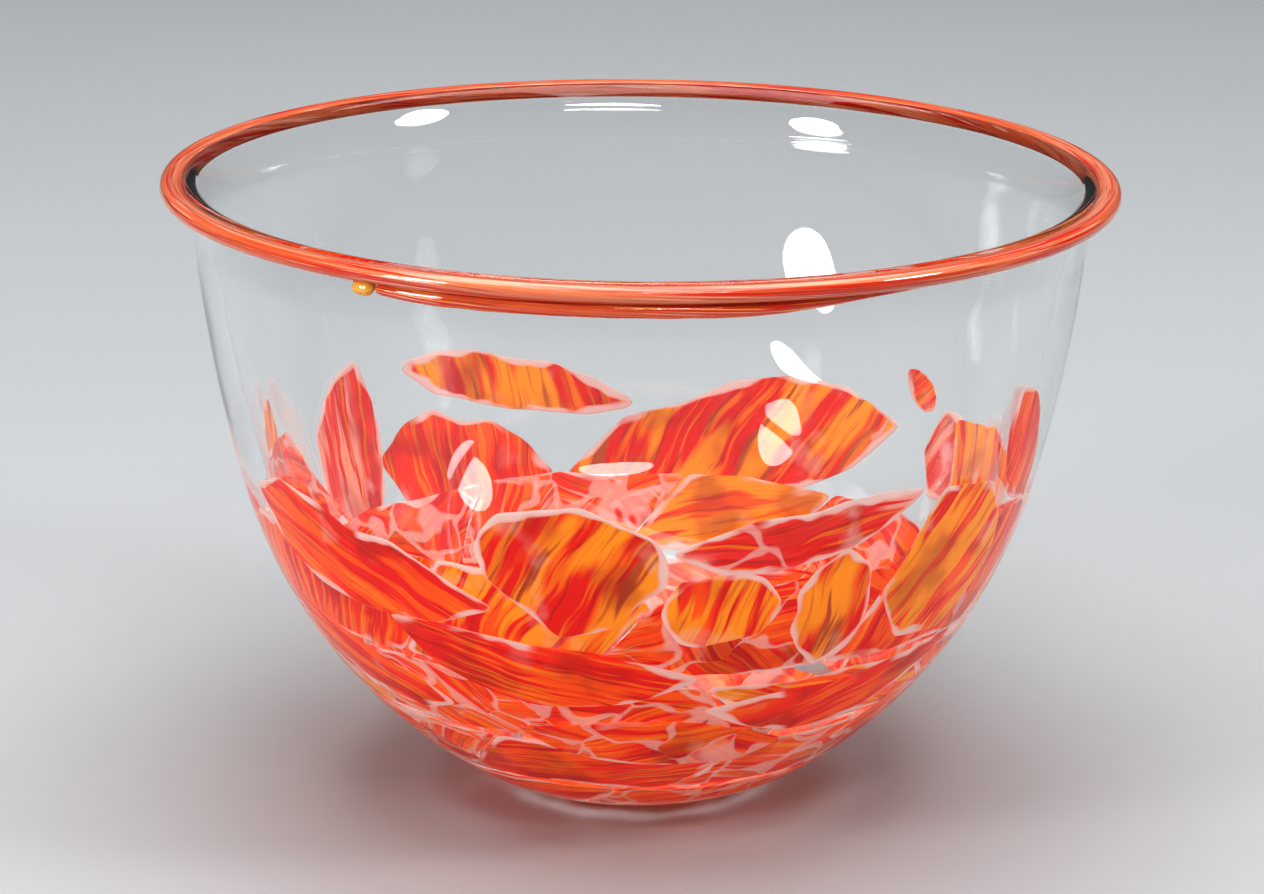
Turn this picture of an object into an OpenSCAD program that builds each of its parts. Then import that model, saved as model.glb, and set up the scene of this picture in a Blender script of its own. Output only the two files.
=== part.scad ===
// Blown glass bowl: three clear gathers with shards of colour picked up between them, and a
// streaked cane wrapped round the lip. Millimetres, +Z up, origin at the centre of the ground
// flat under the base. Turns are degrees round the bowl, 0 at the front (-Y), growing to the
// right. Runs are millimetres along the outside of the wall, measured from the base centre.

/* [Wall] */
// Diameter of the flat ground and polished under the base
base_flat_d = 28; // [24:1:32]
// Radius of the curve that leaves the base
base_arc_r = 39; // [37:0.5:41]
// Radius of the full curve of the belly
belly_arc_r = 88; // [85:1:91]
// Radius of the nearly straight upper wall
upper_arc_r = 255; // [240:5:270]
// Radius of the outward flare under the lip
flare_arc_r = 16; // [15:0.5:18]

/* [Glass layers] */
// Clear glass outside the upper shards
outer_clear_t = 1.2; // [1:0.1:1.4]
// Thickness of each of the two layers of shards
shard_t = 0.7; // [0.6:0.05:0.8]
// Clear glass inside the lower shards
inner_clear_t = 1.4; // [1.2:0.1:1.6]

/* [Lip] */
// Diameter of the cane wrapped round the lip
wrap_d = 3; // [2.7:0.1:3.3]
// Diameter of the tail where the wrap overlaps itself
tail_d = 2.6; // [2.3:0.1:2.9]

/* [Shards] */
// Clear gap between neighbouring shards of one layer
shard_gap = 1.1; // [0.8:0.1:1.6]
// Unevenness of the shard edges, as a share of their width
edge_wobble = 0.07; // [0:0.01:0.1]

/* [Hidden] */
$fn = 96;
CORAL = "#e8603c";
RED = "#d8261c";
ORANGE = "#ee6a1e";
AMBER = "#f0a326";
PINK = "#dd5a5a";
CLEAR = [0.86, 0.9, 0.9, 0.35];

base_flat_r = base_flat_d / 2;
base_angle = 3;
// each arc of the outside wall: its radius, and the slope of the wall where it ends;
// the last bends the other way, so its radius is negative
arcs = [[base_arc_r, 34.5], [belly_arc_r, 75], [upper_arc_r, 84.65], [-flare_arc_r, 57]];
arc_step = 4.5;

// depths of the layer boundaries below the outside surface
over_depth = outer_clear_t;
under_depth = over_depth + shard_t;
inner_depth = under_depth + shard_t;
wall_t = inner_depth + inner_clear_t;

// where the arc that starts at p with slope a ends, once its slope is b
function arc_end(p, a, b, r) = p + r * [sin(b) - sin(a), cos(a) - cos(b)];

// start of the wall's curve at the edge of the ground flat, at a given depth
function curve_start(depth) = [base_flat_r - depth * sin(base_angle), depth * cos(base_angle)];

// points of the wall's curve at a given depth, arc by arc
function curve(depth, i = 0, p = undef, a = base_angle) =
    i == len(arcs) ? [] :
    let (
        from = is_undef(p) ? curve_start(depth) : p,
        r = arcs[i][0] - depth,
        b = arcs[i][1],
        n = max(3, ceil(abs(b - a) / arc_step)),
        here = [for (k = [i == 0 ? 0 : 1 : n]) arc_end(from, a, a + (b - a) * k / n, r)]
    )
    concat(here, curve(depth, i + 1, here[len(here) - 1], b));

// [radius, height, slope] at a run along the wall, at a given depth
function wall_at(run, depth, i = 0, p = undef, a = base_angle, left = undef) =
    run <= base_flat_r ? [run, depth * cos(base_angle), 0] :
    let (
        from = is_undef(p) ? curve_start(depth) : p,
        rest = is_undef(left) ? run - base_flat_r : left,
        b = arcs[i][1],
        whole = abs(arcs[i][0] * (b - a)) * PI / 180
    )
    rest <= whole || i == len(arcs) - 1
        ? let (
            c = a + (b - a) * rest / whole,
            q = arc_end(from, a, c, arcs[i][0] - depth)
          ) [q[0], q[1], c]
        : wall_at(run, depth, i + 1, arc_end(from, a, b, arcs[i][0] - depth), b, rest - whole);

// points of the rounded end of the wall between two depths; the whole end is half a circle
lip_r = wall_t / 2;
lip_angle = arcs[len(arcs) - 1][1];
lip_centre = curve_end(lip_r);
function curve_end(depth) = curve(depth)[len(curve(depth)) - 1];
function lip_cap(outside, inside, n = 5) =
    let (
        a = acos(1 - outside / lip_r),
        b = acos(max(-1, 1 - inside / lip_r))
    )
    [for (k = [1 : n])
        let (c = a + (b - a) * k / n)
        lip_centre
            - lip_r * cos(c) * [-sin(lip_angle), cos(lip_angle)]
            + lip_r * sin(c) * [cos(lip_angle), sin(lip_angle)]];

// the wrap sits on the outer shoulder of the lip and sinks into it a little
wrap_r = wrap_d / 2;
shoulder = 12;
wrap_sink = 0.18;
wrap_reach = lip_r + wrap_r - wrap_sink;
wrap_at = lip_centre + wrap_reach * [cos(shoulder), sin(shoulder)];

// the tail lies in the corner under the wrap and touches both it and the wall
tail_r = tail_d / 2;
tail_sink = 0.13;
tail_reach = lip_r + tail_r - tail_sink;
tail_to_wrap = wrap_r + tail_r - tail_sink / 2;
tail_corner = acos(
    (pow(tail_reach, 2) + pow(wrap_reach, 2) - pow(tail_to_wrap, 2)) / (2 * tail_reach * wrap_reach));
tail_at = lip_centre + tail_reach * [cos(shoulder - tail_corner), sin(shoulder - tail_corner)];

// a clear or coloured shell between two depths
module shell(outside, inside) {
    inner = curve(inside);
    rotate_extrude()
        polygon(concat(
            [[0, outside * cos(base_angle)]],
            curve(outside),
            lip_cap(outside, inside),
            [for (k = [len(inner) - 2 : -1 : 0]) inner[k]],
            [[0, inside * cos(base_angle)]]
        ));
}

module ring_of_cane(at, r) {
    rotate_extrude()
        translate(at)
            circle(r);
}

module lip_wrap() {
    color(CORAL)
        ring_of_cane(wrap_at, wrap_r);
}

// stretch of the tail, from its yellow start to where it thins away
tail_from = -31;
tail_to = 33;
bit_turn = 3;

// one length of round cane in the corner under the wrap
module laid_cane(from, to) {
    rotate([0, 0, from - 90])
        rotate_extrude(angle = to - from)
            translate(tail_at)
                circle(tail_r, $fn = 32);
}

module wrap_tail() {
    color(CORAL)
        difference() {
            laid_cane(tail_from, tail_to);
            lip_wrap();
        }
}

module wrap_start_bit() {
    color(AMBER)
        difference() {
            laid_cane(tail_from - bit_turn, tail_from);
            lip_wrap();
        }
}

// puts its children on the wall: x runs round to the right, y up the wall, z out of it
module on_wall(turn, run, depth) {
    w = wall_at(run, depth);
    rotate([0, 0, turn])
        translate([0, -w[0], w[1]])
            rotate([180 - w[2], 0, 0])
                children();
}

// a point of the wall in space, and the same point seen from a place on the wall
function wall_xyz(turn, run, depth) =
    let (w = wall_at(run, depth))
    [w[0] * sin(turn), -w[0] * cos(turn), w[1]];

function seen_from(p, turn, run, depth) =
    let (
        w = wall_at(run, depth),
        right = [cos(turn), sin(turn), 0],
        out = [sin(turn), -cos(turn), 0],
        up = [out[0] * cos(w[2]), out[1] * cos(w[2]), sin(w[2])],
        d = p - wall_xyz(turn, run, depth)
    )
    [d * right, d * up];

// how far the cutting prism of a shard reaches into the bowl and out of it
prism_in = 16;
prism_out = 6;

module shard_prism(turn, run, outline, depth) {
    on_wall(turn, run, depth)
        translate([0, 0, -prism_in])
            linear_extrude(prism_in + prism_out)
                polygon(outline);
}

// Upper shards: single pieces, picked up last. Each is a blade drawn about a bent centre line:
// [name, colour, turn, run, length, width, tilt, bend, taper, fullness]
// tilt is degrees from level, rising to the right; taper widens the right end;
// fullness 1 is a lens with sharp ends, 4 is nearly a rectangle.
BLADES = [
    ["left_blade", ORANGE, -44, 95, 54, 16, -12, -1, -0.1, 2],
    ["centre_shard", AMBER, -9, 99, 25, 28, 82, 0, 0.4, 2.4],
    ["pink_tongue", PINK, 23, 106, 44, 9, 9, -1, -0.1, 2.2],
    ["amber_block", AMBER, 12, 92, 20, 13, 3, 0, 0, 3.4],
    ["striped_block", AMBER, 29, 90, 23, 13, 86, 0, 0.1, 3.4],
    ["right_flag", ORANGE, 50, 94, 30, 27, 60, 0, 0.1, 2.6],
    ["right_loop", RED, 65, 111, 29, 11, 122, 1, 0.2, 2.4],
    ["lower_flame", RED, -15, 79, 52, 14, -9, -2, -0.1, 2],
    ["right_sweep", RED, 37, 70, 50, 11, 9, -2, -0.1, 2],
    ["left_spear", PINK, -121, 88, 36, 19, 118, 0, -0.3, 2],
    ["back_left_panel", RED, -146, 79, 37, 19, 12, 0, 0.1, 3.4],
    ["back_fold", AMBER, -158, 94, 48, 8, 13, 1, 0.2, 2],
    ["back_dome", AMBER, 160, 80, 68, 22, -14, 3, 0, 2.2],
    ["back_sliver", RED, 127, 100, 11, 5, 30, 0, 0, 1.8],
    ["right_spear", PINK, 116, 90, 18, 13, 60, 0, 0, 2.2],
    ["left_sweep", ORANGE, -52, 73, 40, 13, -24, -2, 0.1, 1.6],
    ["near_keel", RED, 3, 57, 44, 13, -6, 2, 0.2, 1.7],
    ["left_keel", ORANGE, -62, 50, 36, 12, -20, 2, 0.2, 1.7],
    ["right_keel", AMBER, 66, 58, 38, 13, 20, 2, -0.2, 1.8],
    ["left_edge_shard", ORANGE, -88, 92, 36, 15, -50, 0, 0.2, 2],
    ["left_stub", AMBER, -101, 84, 22, 8, 115, 0, 0.1, 2],
    ["right_edge_shard", ORANGE, 92, 86, 32, 15, 42, 0, 0.1, 2.2],
    ["back_sweep", ORANGE, -155, 55, 46, 13, 10, 2, 0.1, 1.8],
    ["back_keel", RED, 138, 54, 44, 13, -12, 2, 0.1, 1.8]
];

blade_stations = 5;

// outline of a blade: points along the upper edge to the right, then back along the lower
function blade(length, width, tilt, bend, taper, fullness, seed) =
    let (
        shift = rands(-1, 1, 2 * blade_stations, seed),
        ts = [for (k = [1 : blade_stations]) 2 * k / (blade_stations + 1) - 1],
        half = [for (t = ts) width / 2 * pow(1 - pow(abs(t), fullness), 0.6) * (1 + taper * t)],
        mid = [for (t = ts) bend * (1 - t * t)],
        upper = [for (k = [0 : blade_stations - 1])
            [ts[k] * length / 2, mid[k] + half[k] + shift[k] * edge_wobble * width]],
        lower = [for (k = [blade_stations - 1 : -1 : 0])
            [ts[k] * length / 2, mid[k] - half[k] + shift[blade_stations + k] * edge_wobble * width]],
        flat = concat([[-length / 2, 0]], upper, [[length / 2, 0]], lower)
    )
    [for (p = flat) [p[0] * cos(tilt) - p[1] * sin(tilt), p[0] * sin(tilt) + p[1] * cos(tilt)]];

// an outline of [turn, run] points, flattened as it is seen from a place on the wall
function flattened(outline, turn, run, depth) =
    [for (p = outline) seen_from(wall_xyz(p[0], p[1], depth), turn, run, depth)];

module over_prism(i) {
    s = BLADES[i];
    shard_prism(s[2], s[3], blade(s[4], s[5], s[6], s[7], s[8], s[9], i + 1), over_depth);
}

module over_shard(i) {
    color(BLADES[i][1])
        intersection() {
            shell(over_depth, under_depth);
            over_prism(i);
        }
}

// Lower shards: rings of pieces laid edge to edge, picked up first.
// [name, places in a full ring, pieces laid, lowest run, highest run, sweep, first turn,
//  unevenness of the top edge]
// sweep is how far the top edge of a piece is turned past its foot, in degrees.
UNDER = [
    ["foot_shards", 5, 5, 9, 23, 26, 10, 1],
    ["keel_shard", 6, 6, 26, 40, 18, -25, 1],
    ["belly_shard", 8, 8, 43, 58, 15, 5, 1],
    ["waist_shard", 9, 9, 61, 75, -12, -12, 1.2],
    ["crest_shard", 10, 6, 78, 93, 10, -112, 7]
];
FOOT_RING = 0;
RING_COLOURS = [RED, ORANGE, RED, AMBER];

// turn of the foot of the k-th boundary of a ring; the last boundary is the first again
function boundary(ring, k) =
    let (
        n = UNDER[ring][1],
        jitter = rands(-0.16, 0.16, n, 40 + ring)
    )
    UNDER[ring][6] + 360 * (k + jitter[k % n]) / n;

// corners and edge middles of a ring piece as [turn, run], in order round it
function ring_cell(ring, k) =
    let (
        row = UNDER[ring],
        lo = row[3],
        hi = row[4],
        sweep = row[5],
        rise = row[7],
        tops = rands(-rise * 0.4, rise, row[1] + 1, 60 + ring),
        feet = rands(-0.8, 0.8, row[1] + 1, 80 + ring),
        left = boundary(ring, k),
        right = boundary(ring, k + 1),
        mid = (lo + hi) / 2,
        gap_turn = shard_gap / 2 / wall_at(mid, under_depth)[0] * 180 / PI,
        foot_gap = gap_turn * wall_at(mid, under_depth)[0] / wall_at(lo, under_depth)[0],
        top_l = hi + tops[k],
        top_r = hi + tops[(k + 1) % row[1]],
        bulge = 0.12 * (right - left)
    )
    [
        [left + foot_gap, lo + feet[k]],
        [(left + right) / 2, lo + feet[k + 1]],
        [right - foot_gap, lo + feet[(k + 1) % row[1]]],
        [right + sweep / 2 - gap_turn, mid],
        [right + sweep - gap_turn, top_r],
        [(left + right) / 2 + sweep + bulge, (top_l + top_r) / 2 + rise * 0.35],
        [left + sweep + gap_turn, top_l],
        [left + sweep / 2 + gap_turn, mid]
    ];

module under_prism(ring, k) {
    row = UNDER[ring];
    turn = (boundary(ring, k) + boundary(ring, k + 1) + row[5]) / 2;
    run = (row[3] + row[4]) / 2;
    shard_prism(turn, run, flattened(ring_cell(ring, k), turn, run, under_depth), under_depth);
}

module under_shard(ring, k) {
    color(RING_COLOURS[(ring + k) % len(RING_COLOURS)])
        intersection() {
            shell(under_depth, inner_depth);
            under_prism(ring, k);
        }
}

// the pieces round the foot are small, and share one node
module foot_shards() {
    for (k = [0 : UNDER[FOOT_RING][2] - 1])
        under_shard(FOOT_RING, k);
}

module inner_gather() {
    color(CLEAR)
        shell(inner_depth, wall_t);
}

module middle_gather() {
    color(CLEAR)
        difference() {
            shell(under_depth, inner_depth);
            for (ring = [0 : len(UNDER) - 1])
                for (k = [0 : UNDER[ring][2] - 1])
                    under_prism(ring, k);
        }
}

module outer_gather() {
    color(CLEAR)
        difference() {
            shell(0, under_depth);
            lip_wrap();
            laid_cane(tail_from - bit_turn, tail_to);
            for (i = [0 : len(BLADES) - 1])
                intersection() {
                    shell(over_depth, under_depth);
                    over_prism(i);
                }
        }
}

function ring_name(ring, k) = str(UNDER[ring][0], "_", k + 1);

inner_gather();
middle_gather();
outer_gather();
lip_wrap();
wrap_tail();
wrap_start_bit();
for (i = [0 : len(BLADES) - 1])
    over_shard(i);
foot_shards();
for (ring = [1 : len(UNDER) - 1])
    for (k = [0 : UNDER[ring][2] - 1])
        under_shard(ring, k);
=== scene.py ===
"""Looks of a blown glass bowl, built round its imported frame.

The bowl is clear above and packed below with shards of red, orange and amber glass, and a streaked
coral cane is wrapped round its lip. Lengths are metres, except where a name ends in _mm and in the
shader groups of the shards, which work in millimetres. A place on the wall is given by its turn
(radians round the bowl from the front, growing to the right), its run (distance along the outside of
the wall from the centre of the base) and its depth under the outside.
"""

from __future__ import annotations

import logging
import math
from dataclasses import dataclass, field
from enum import Enum

import bpy
import numpy as np
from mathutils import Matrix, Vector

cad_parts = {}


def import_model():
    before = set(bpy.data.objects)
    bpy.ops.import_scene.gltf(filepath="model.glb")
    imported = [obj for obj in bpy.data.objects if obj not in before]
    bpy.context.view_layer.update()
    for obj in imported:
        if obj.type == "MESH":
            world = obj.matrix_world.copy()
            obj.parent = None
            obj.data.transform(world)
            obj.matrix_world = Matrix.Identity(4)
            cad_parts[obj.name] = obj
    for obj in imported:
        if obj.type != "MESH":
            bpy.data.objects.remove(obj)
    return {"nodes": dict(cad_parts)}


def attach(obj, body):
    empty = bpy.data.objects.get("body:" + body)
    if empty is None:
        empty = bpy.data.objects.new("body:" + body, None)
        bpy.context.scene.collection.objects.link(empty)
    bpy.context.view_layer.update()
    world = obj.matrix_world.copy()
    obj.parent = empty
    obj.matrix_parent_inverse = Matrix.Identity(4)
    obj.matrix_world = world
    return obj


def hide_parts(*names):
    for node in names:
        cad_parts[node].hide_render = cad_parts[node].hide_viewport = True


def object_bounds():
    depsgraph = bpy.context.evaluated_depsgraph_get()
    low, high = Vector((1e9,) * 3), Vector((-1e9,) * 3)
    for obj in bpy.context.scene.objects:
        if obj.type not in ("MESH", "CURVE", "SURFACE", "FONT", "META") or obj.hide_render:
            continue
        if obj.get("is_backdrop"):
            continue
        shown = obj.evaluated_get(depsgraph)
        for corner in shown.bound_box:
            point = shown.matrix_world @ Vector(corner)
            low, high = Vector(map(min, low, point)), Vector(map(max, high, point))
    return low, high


MM = 0.001
LOG = logging.getLogger("bowl")
WAVE_TURNS = (1, 7)
WAVE_SLOPES = (0.4, 2.4)
Colour = tuple[float, float, float, float]
Socket = bpy.types.NodeSocket


# ---------------------------------------------------------------- small helpers


def smooth_step(x: np.ndarray, low: float, high: float) -> np.ndarray:
    """Rises from 0 at low to 1 at high as 3t^2 - 2t^3.

    Args:
        x: Values to test.
        low: Where the rise starts.
        high: Where it ends.

    Returns:
        The step at each value.
    """
    t = np.clip((x - low) / (high - low), 0, 1)
    return t * t * (3 - 2 * t)


def waves(a: np.ndarray, b: np.ndarray, seed: int, count: int = 7) -> np.ndarray:
    """Smooth unevenness between 0 and 1: a sum of sine waves with seeded slopes and phases.

    Args:
        a: First coordinate, in radians. Whole-number slopes keep the sum closed round the bowl.
        b: Second coordinate, in units of one wave.
        seed: Chooses the waves.
        count: How many waves are added.

    Returns:
        The sum, brought into 0 to 1.
    """
    rng = np.random.default_rng(seed)
    total = np.zeros(np.broadcast(a, b).shape)
    for _ in range(count):
        turns = rng.integers(*WAVE_TURNS)
        total += np.sin(turns * a + rng.uniform(*WAVE_SLOPES) * b + rng.uniform(0, 2 * math.pi))
    return 0.5 + 0.5 * total / count


# ---------------------------------------------------------------- meshes


@dataclass
class Skin:
    """A closed surface: its points, its faces and what is known at each point."""

    points: np.ndarray
    faces: list[tuple[int, ...]]
    fields: dict[str, np.ndarray] = field(default_factory=dict)

    def to_object(self, name: str) -> bpy.types.Object:
        """Makes the mesh object, smooth shaded, with one attribute for each field.

        Args:
            name: Name of the object.

        Returns:
            The new object, linked into the scene.
        """
        mesh = bpy.data.meshes.new(name)
        mesh.from_pydata(self.points.tolist(), [], self.faces)
        mesh.polygons.foreach_set("use_smooth", np.ones(len(mesh.polygons), dtype=bool))
        for key, values in self.fields.items():
            kind, slot = ("FLOAT", "value") if values.ndim == 1 else ("FLOAT_VECTOR", "vector")
            layer = mesh.attributes.new(key, kind, "POINT")
            layer.data.foreach_set(slot, values.astype(np.float32).ravel())
        mesh.update()
        piece = bpy.data.objects.new(name, mesh)
        bpy.context.collection.objects.link(piece)
        return piece


def skin_pole_to_pole(rings: np.ndarray, first: np.ndarray, last: np.ndarray) -> Skin:
    """Closes a stack of rings with a point at each end.

    Args:
        rings: Points as (ring, place round it, xyz).
        first: The pole before the first ring.
        last: The pole after the last ring.

    Returns:
        The closed surface, whose points are the first pole, the rings in order and the last pole.
    """
    count, around = rings.shape[:2]
    here = 1 + np.arange(count * around).reshape(count, around)
    after = np.roll(here, -1, axis=1)
    sides = np.stack([here[:-1], after[:-1], after[1:], here[1:]], axis=-1).reshape(-1, 4)
    end = 1 + count * around
    start_fan = np.stack([np.zeros(around, int), after[0], here[0]], axis=-1)
    end_fan = np.stack([np.full(around, end), here[-1], after[-1]], axis=-1)
    faces = [*map(tuple, sides.tolist()), *map(tuple, start_fan.tolist()), *map(tuple, end_fan.tolist())]
    return Skin(np.vstack([first, rings.reshape(-1, 3), last]), faces)


def skin_ring(grid: np.ndarray) -> Skin:
    """Closes a grid of points both ways, as on the surface of a ring.

    Args:
        grid: Points as (place round the bowl, place round the section, xyz).

    Returns:
        The closed surface, its points in the grid's order.
    """
    around, section = grid.shape[:2]
    here = np.arange(around * section).reshape(around, section)
    after = np.roll(here, -1, axis=0)
    quads = np.stack([here, after, np.roll(after, -1, axis=1), np.roll(here, -1, axis=1)], axis=-1)
    return Skin(grid.reshape(-1, 3), [*map(tuple, quads.reshape(-1, 4).tolist())])


def welded(node: bpy.types.Object) -> tuple[np.ndarray, np.ndarray]:
    """Points and triangles of a CAD node, with the points that coincide made one.

    Args:
        node: The node's object.

    Returns:
        The points (n, 3) and the triangles (m, 3).
    """
    mesh = node.data
    mesh.calc_loop_triangles()
    flat = np.empty(len(mesh.vertices) * 3, dtype=np.float32)
    mesh.vertices.foreach_get("co", flat)
    corners = np.empty(len(mesh.loop_triangles) * 3, dtype=np.int32)
    mesh.loop_triangles.foreach_get("vertices", corners)
    grain = 1e-6
    keys = np.round(flat.reshape(-1, 3) / grain).astype(np.int64)
    unique, same = np.unique(keys, axis=0, return_inverse=True)
    return unique * grain, same.ravel()[corners].reshape(-1, 3)


def islands(points: np.ndarray, triangles: np.ndarray) -> list[np.ndarray]:
    """Splits triangles into groups that share no point.

    Args:
        points: Points of the mesh.
        triangles: Its triangles.

    Returns:
        The triangles of each group.
    """
    label = np.arange(len(points))
    while True:
        lowest = label[triangles].min(axis=1)
        spread = label.copy()
        np.minimum.at(spread, triangles.ravel(), np.repeat(lowest, 3))
        if np.array_equal(spread, label):
            break
        label = spread
    owner = label[triangles[:, 0]]
    return [triangles[owner == value] for value in np.unique(owner)]


# ---------------------------------------------------------------- the wall


@dataclass(frozen=True)
class WallShape:
    """Outside curve of the wall: the ground flat, then arcs that run on from each other.

    Attributes:
        flat_r: Radius of the ground flat.
        start_slope: Slope of the wall where it leaves the flat, in degrees.
        arcs: Radius in millimetres and end slope in degrees of each arc; the last flares outwards.
        thickness: From the outside to the inside.
        ripple: How far the hand-worked surface falls below the true curve.
    """

    flat_r: float = 14 * MM
    start_slope: float = 3.0
    arcs: tuple[tuple[float, float], ...] = ((39, 34.5), (88, 75), (255, 84.65), (-16, 57))
    thickness: float = 4 * MM
    ripple: float = 0.22 * MM

    def table(self) -> tuple[np.ndarray, np.ndarray, np.ndarray, np.ndarray]:
        """The outside at close steps from the base centre to the lip.

        Each arc goes on from the point and the slope where the last one ended.

        Returns:
            The runs, radii, heights and slopes.
        """
        steps = 200
        # the slope goes from level to the wall's first slope over this length
        corner = 0.2 * MM
        run, r, z = self.flat_r, self.flat_r, 0.0
        slope = math.radians(self.start_slope)
        runs, radii = [0.0, run - corner], [0.0, r - corner]
        heights, slopes = [0.0, 0.0], [0.0, 0.0]
        for radius_mm, end_degrees in self.arcs:
            radius, end = radius_mm * MM, math.radians(end_degrees)
            angle = np.linspace(slope, end, steps)
            runs += list(run + np.abs(radius * (angle - slope)))
            radii += list(r + radius * (np.sin(angle) - math.sin(slope)))
            heights += list(z + radius * (math.cos(slope) - np.cos(angle)))
            slopes += list(angle)
            run, r, z, slope = runs[-1], radii[-1], heights[-1], end
        return np.array(runs), np.array(radii), np.array(heights), np.array(slopes)

    @property
    def full_run(self) -> float:
        """Length of the wall from the base centre to the lip."""
        return float(self.table()[0][-1])

    def at(self, run: np.ndarray, depth: np.ndarray) -> tuple[np.ndarray, np.ndarray, np.ndarray]:
        """Radius, height and slope at a run and depth.

        The point lies under the outside curve along its inward normal: the radius is less by
        depth times sin(slope), and the height is more by depth times cos(slope).

        Args:
            run: Distance along the outside from the base centre.
            depth: Distance under the outside.

        Returns:
            The radius, the height and the slope.
        """
        runs, radii, heights, slopes = self.table()
        slope = np.interp(run, runs, slopes)
        radius = np.interp(run, runs, radii) - depth * np.sin(slope)
        return radius, np.interp(run, runs, heights) + depth * np.cos(slope), slope

    def place(self, turn: np.ndarray, run: np.ndarray, depth: np.ndarray) -> np.ndarray:
        """Points in space for turns, runs and depths.

        Args:
            turn: Radians round the bowl from the front.
            run: Distance along the outside from the base centre.
            depth: Distance under the outside.

        Returns:
            An array with a last axis of x, y and z.
        """
        radius, height, _ = self.at(run, depth)
        x = radius * np.sin(turn)
        y = -radius * np.cos(turn)
        return np.stack([x, y, height + 0 * x], axis=-1)

    def outward(self, turn: np.ndarray, slope: np.ndarray) -> np.ndarray:
        """Directions that point straight out of the wall."""
        flat = np.sin(slope)
        return np.stack([flat * np.sin(turn), -flat * np.cos(turn), -np.cos(slope)], axis=-1)

    def find(self, points: np.ndarray, depth: float) -> tuple[np.ndarray, np.ndarray]:
        """Turn and run of points that lie near one depth.

        Radius plus height grows all the way up the wall, so it tells the run.

        Args:
            points: The points (n, 3).
            depth: The depth that they lie near.

        Returns:
            The turns and the runs.
        """
        steps = 800
        runs = np.linspace(0, self.full_run, steps)
        radius, height, _ = self.at(runs, np.full_like(runs, depth))
        turn = np.arctan2(points[:, 0], -points[:, 1])
        reach = np.hypot(points[:, 0], points[:, 1]) + points[:, 2]
        return turn, np.interp(reach, radius + height, runs)


@dataclass(frozen=True)
class ClearWall:
    """The clear glass of all three gathers, which have run together into one wall.

    Attributes:
        shape: Its outside curve and thickness.
        around: Points round the bowl.
        rows: Rings up each side.
        lip_rows: Rings round the lip.
        outer_wave: Length of a wave of unevenness on the outside.
        inner_wave: The same on the inside.
        waves_start: Run where the outside's unevenness starts.
        waves_full: Run where it is full.
        steady_from: Share of the full run where the unevenness starts to die out.
        outer_seed: Chooses the waves on the outside.
        inner_seed: Chooses the waves on the inside.
    """

    shape: WallShape
    around: int = 288
    rows: int = 140
    lip_rows: int = 14
    outer_wave: float = 22 * MM
    inner_wave: float = 26 * MM
    waves_start: float = 14 * MM
    waves_full: float = 40 * MM
    steady_from: float = 0.93
    outer_seed: int = 3
    inner_seed: int = 8

    def build(self) -> Skin:
        """Goes up the outside, round the lip as half a circle, and down the inside.

        Returns:
            One closed skin.
        """
        shape = self.shape
        turn = np.linspace(0, 2 * math.pi, self.around, endpoint=False)
        runs = np.linspace(0, shape.full_run, self.rows + 1)[1:]
        turns, outside = np.meshgrid(turn, runs)
        growth = smooth_step(outside, self.waves_start, self.waves_full)
        dips = waves(turns, outside / self.outer_wave, self.outer_seed) * growth
        steady = 1 - smooth_step(outside, self.steady_from * shape.full_run, shape.full_run)
        outer = shape.place(turns, outside, shape.ripple * dips * steady)
        swells = waves(turns, outside / self.inner_wave, self.inner_seed)
        inner = shape.place(turns, outside, shape.thickness - shape.ripple * (swells - 0.5) * steady)
        arc = np.linspace(0, math.pi, self.lip_rows + 2)[1:-1, None]
        half = shape.thickness / 2
        _, _, end_slope = shape.at(np.array(shape.full_run), np.array(0.0))
        middle = shape.place(turn, np.full_like(turn, shape.full_run), np.full_like(turn, half))
        out = shape.outward(turn, np.full_like(turn, end_slope))
        up = shape.outward(turn, np.full_like(turn, end_slope + math.pi / 2))
        lip = middle + half * (np.cos(arc)[..., None] * out + np.sin(arc)[..., None] * up)
        rings = np.concatenate([outer, lip, inner[::-1]])
        floor_z = float(shape.at(np.array(0.0), np.array(shape.thickness))[1])
        return skin_pole_to_pole(rings, np.zeros(3), np.array([0, 0, floor_z]))


# ---------------------------------------------------------------- the shards


class Palette(Enum):
    """The colours that a shard can have."""

    FLAME = "flame"
    SCARLET = "scarlet"
    AMBER = "amber"
    ROSE = "rose"
    TANGERINE = "tangerine"
    BLUSH = "blush"
    EMBER = "ember"


@dataclass(frozen=True)
class ShardLook:
    """How one shard is dressed.

    Attributes:
        palette: Its colours.
        grain: Direction of its streaks on the outside of the wall, in degrees from level.
        spread: How far the hot glass has spread past its cut edge.
    """

    palette: Palette
    grain: float
    spread: float = 0.3 * MM


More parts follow.
